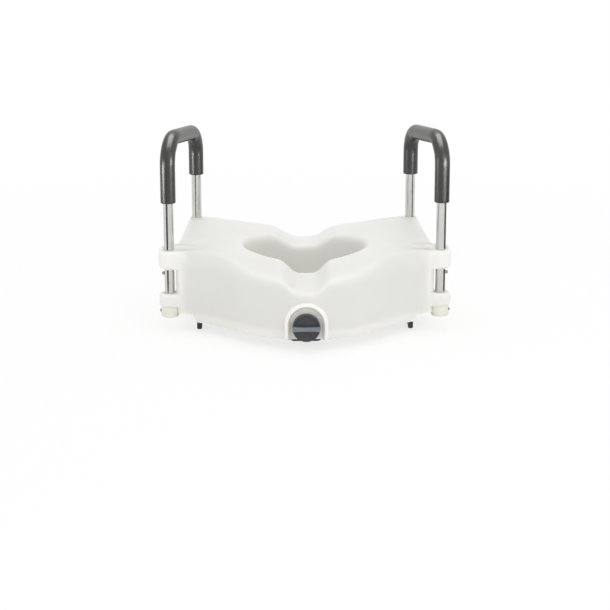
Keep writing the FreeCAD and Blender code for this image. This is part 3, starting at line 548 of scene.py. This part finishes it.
def rimPads():   # set around the opening, a little outside its edge
    size = padSizes
    low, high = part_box("rim_pads")
    height = (low[2] + high[2]) / 2
    pads = []
    for degrees in size["angles"]:
        angle = radians(degrees)
        ahead = size["frontReach"] if cos(angle) > 0 else size["rearReach"]
        reach = 1 / sqrt((sin(angle) / size["halfWidth"]) ** 2 + (cos(angle) / ahead) ** 2) + size["out"]
        for side in (1, -1):
            middle = (side * reach * sin(angle), size["middleY"] - reach * cos(angle), height)
            pads.append(ribbedPad("rim_pad", middle, size["size"], Vector((0, 0, -1)), -side * angle,
                                  size["corner"], size["strips"]))
    dress(joined(pads, "ribbed_rim_pads"), "rubber", "seat", "rim_pads")


def jawPad():
    low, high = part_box("jaw_pad")
    pad = ribbedPad("ribbed_jaw_pad", (Vector(low) + Vector(high)) / 2, Vector(high) - Vector(low),
                    Vector((0, -1, 0)), 0, padSizes["jawCorner"], padSizes["jawStrips"])
    pad.data.name = "ribbed_jaw_pad"
    dress(pad, "rubber", "jaw", "jaw_pad")


rimPads()
jawPad()
print("pads modelled")


# ---- pan head screws ----
screwSizes = {"head": 0.004, "high": 0.0023, "around": 48, "dome": 0.0013, "domeSteps": 5, "smooth": 30,
              "cross": (0.0046, 0.001, 0.0024), "crossTaper": 0.45, "shank": 0.0019, "shankAround": 24,
              "long": 0.013, "tip": 0.0028, "tipTaper": 0.3, "firstTurn": 0.3, "nextTurn": 0.7}
screwSpots = {   # distances to each side, and places along Y
    "side_tab_screws": ((0.17127,), (-0.0298, -0.0148)),
    "rear_hook_screws": ((0.049, 0.067), (0.1327,)),
    "lock_cover_screws": ((0.024,), (-0.1443, -0.0899)),
}


def panHeadScrew():   # head down, its seat at the origin, one to copy from
    size = screwSizes
    head = addCylinder("pan_head_screw", size["around"], size["head"], size["high"],
                       (0, 0, -size["high"] / 2))

    def isLowerRim(edge):
        first, second = edge.verts
        return first.co.z < 0 and second.co.z < 0 and abs(first.co.z - second.co.z) < matching["level"]

    pick(head, "EDGE", isLowerRim)
    bpy.ops.mesh.bevel(offset=size["dome"], segments=size["domeSteps"], affect="EDGES")
    finishPiece(head)
    arms = []
    for turn in (0, pi / 2):
        arm = addBlock("cross_arm", size["cross"], (0, 0, -size["high"]), turn)
        pickCap(arm, 1)
        bpy.ops.transform.resize(value=(size["crossTaper"], size["crossTaper"], 1))
        finishPiece(arm)
        arms.append(arm)
    for arm in arms:
        cut = {"object": arm, "operation": "DIFFERENCE", "solver": "EXACT"}
        finishPiece(head, [("BOOLEAN", cut)], size["smooth"])
        bpy.data.objects.remove(arm)
    plain = size["long"] - size["tip"]
    shank = addCylinder("shank", size["shankAround"], size["shank"], plain, (0, 0, plain / 2))
    pickCap(shank, 1)
    extrude((0, 0, size["tip"]))
    bpy.ops.transform.resize(value=(size["tipTaper"], size["tipTaper"], 1))
    finishPiece(shank)
    return joined([head, shank], "pan_head_screw")


def screwRow(master, node):   # copies on both sides, each cross turned its own way
    size = screwSizes
    low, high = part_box(node)
    acrosses, backs = screwSpots[node]
    spots = [(side * across, back) for across in acrosses for back in backs for side in (1, -1)]
    copies = []
    for x, y in spots:
        copy = master.copy()
        copy.data = master.data.copy()
        scene.collection.objects.link(copy)
        copy.location = (x, y, low[2] + size["high"])
        copy.rotation_euler = (0, 0, size["nextTurn"] * len(copies) + size["firstTurn"])
        finishPiece(copy, (), size["smooth"])
        copies.append(copy)
    dress(joined(copies, node.replace("_screws", "_pan_screws")), "steel", "seat", node)


screwMaster = panHeadScrew()
for node in screwSpots:
    screwRow(screwMaster, node)
bpy.data.objects.remove(screwMaster)
print("screws modelled")


# ---- stage: floor, studio light, camera ----
stageSetup = {"floor": 14.0, "clear": 0.9, "edge": 0.8, "glow": 0.75, "paper": (0.9, 0.9, 0.9, 1),
              "white": (1, 1, 1, 1), "bright": 1.0, "soft": 1.0, "flag": (0.1, 0.1, 0.1, 1)}
boxSetup = {   # strength is how bright the lamp's face is
    "top box": {"size": (1.0, 1.0), "strength": 1.1, "place": (0.05, 0.3, 2.2), "aim": (0.05, 0.4, 0)},
    "front box": {"size": (1.0, 0.9), "strength": 2.1, "place": (1.1, -2.1, 1.7), "aim": (0, 0, 0.1)},
}
cardSetup = {
    "top card": {"size": (1.8, 2.2), "strength": 8.5, "place": (0.05, 0.2, 2.2), "aim": (0.05, 0.5, 0)},
    "left card": {"size": (0.34, 0.12), "strength": 30, "place": (-0.75, -0.28, 0.22),
                  "aim": (-0.2, 0, 0.25)},
    "right card": {"size": (0.6, 0.26), "strength": 24, "place": (0.75, -0.65, 0.32), "aim": (0.2, 0, 0.2)},
}
flagSetup = {
    "left flag": {"size": (0.2, 0.3), "place": (-0.4, -0.25, 0.13), "turn": -36},
    "right flag": {"size": (0.2, 0.3), "place": (0.46, -0.03, 0.13), "turn": 90},
}
cameraSetup = {"place": (-0.058, -3.6313, 1.0459), "pitch": 15.52, "yaw": 0.92, "sensor": 36,
               "focal": 116.120656}


def seenRays(tree):   # 1 for what the camera sees, straight or in gloss and glass
    path = tree.nodes.new("ShaderNodeLightPath")
    return (Wire(tree, path.outputs["Is Camera Ray"]) + Wire(tree, path.outputs["Is Glossy Ray"])
            + Wire(tree, path.outputs["Is Transmission Ray"])).clamped()


def whiteStage():   # paper that takes a soft shadow near the seat and is plain white further out
    setup = stageSetup
    bpy.ops.mesh.primitive_plane_add(size=setup["floor"], location=(0, 0, 0))
    floor = bpy.context.object
    floor.name = "floor"
    material = bpy.data.materials.new("paper floor")
    tree = bareTree(material)
    at = Wire(tree, tree.nodes.new("ShaderNodeTexCoord").outputs["Object"])
    away = at.node("ShaderNodeVectorMath", {"operation": "LENGTH"}, {0: at}, out=1)
    far = away.between(setup["clear"], setup["clear"] + setup["edge"])
    paper = at.node("ShaderNodeBsdfDiffuse", {}, {"Color": setup["paper"]})
    glow = at.node("ShaderNodeEmission", {}, {"Color": setup["white"], "Strength": setup["bright"]})
    share = far * (1 - setup["glow"]) + setup["glow"]
    endTree(at.node("ShaderNodeMixShader", {}, {0: seenRays(tree) * share, 1: paper, 2: glow}))
    floor.data.materials.append(material)


def studioWorld():   # white to the eye, soft as a light
    setup = stageSetup
    world = bpy.data.worlds.new("studio")
    scene.world = world
    seen = seenRays(bareTree(world))
    soft = seen.node("ShaderNodeBackground", {}, {"Color": setup["white"], "Strength": setup["soft"]})
    white = seen.node("ShaderNodeBackground", {}, {"Color": setup["white"], "Strength": setup["bright"]})
    endTree(seen.node("ShaderNodeMixShader", {}, {0: seen, 1: soft, 2: white}), "ShaderNodeOutputWorld")


def darkFlag(name, size, place, turn):   # a card that only gloss sees, for the bands on bright tubes
    bpy.ops.mesh.primitive_plane_add(size=1, location=place, rotation=(radians(90), 0, radians(turn)))
    flag = bpy.context.object
    flag.name = name
    flag.scale = (size[0], size[1], 1)
    material = bpy.data.materials.new(name)
    tree = bareTree(material)
    endTree(Wire(tree, None).node("ShaderNodeBsdfDiffuse", {}, {"Color": stageSetup["flag"]}))
    flag.data.materials.append(material)
    flag.visible_camera = flag.visible_diffuse = flag.visible_shadow = False


def areaLight(name, size, strength, place, aim):
    light = bpy.data.lights.new(name, "AREA")
    light.shape, light.size, light.size_y = "RECTANGLE", size[0], size[1]
    light.energy = strength * pi * size[0] * size[1]
    lamp = bpy.data.objects.new(name, light)
    scene.collection.objects.link(lamp)
    lamp.location = place
    lamp.rotation_euler = (Vector(aim) - Vector(place)).to_track_quat("-Z", "Y").to_euler()
    lamp.visible_camera = False
    return lamp


def foamCard(name, setup):   # a soft streak in the gloss of the foam alone
    card = areaLight(name, **setup)
    card.visible_diffuse = False
    card.light_linking.receiver_collection = foamOnly


def mainCamera():
    setup = cameraSetup
    camera = bpy.data.cameras.new("camera")
    camera.sensor_width, camera.lens = setup["sensor"], setup["focal"]
    body = bpy.data.objects.new("camera", camera)
    scene.collection.objects.link(body)
    body.location = setup["place"]
    body.rotation_euler = (radians(90 - setup["pitch"]), 0, radians(-setup["yaw"]))
    scene.camera = body


whiteStage()
studioWorld()
for name, setup in boxSetup.items():
    areaLight(name, **setup)
for name, setup in cardSetup.items():
    foamCard(name, setup)
for name, setup in flagSetup.items():
    darkFlag(name, **setup)
mainCamera()
scene.view_settings.view_transform = "Standard"
print("stage set")
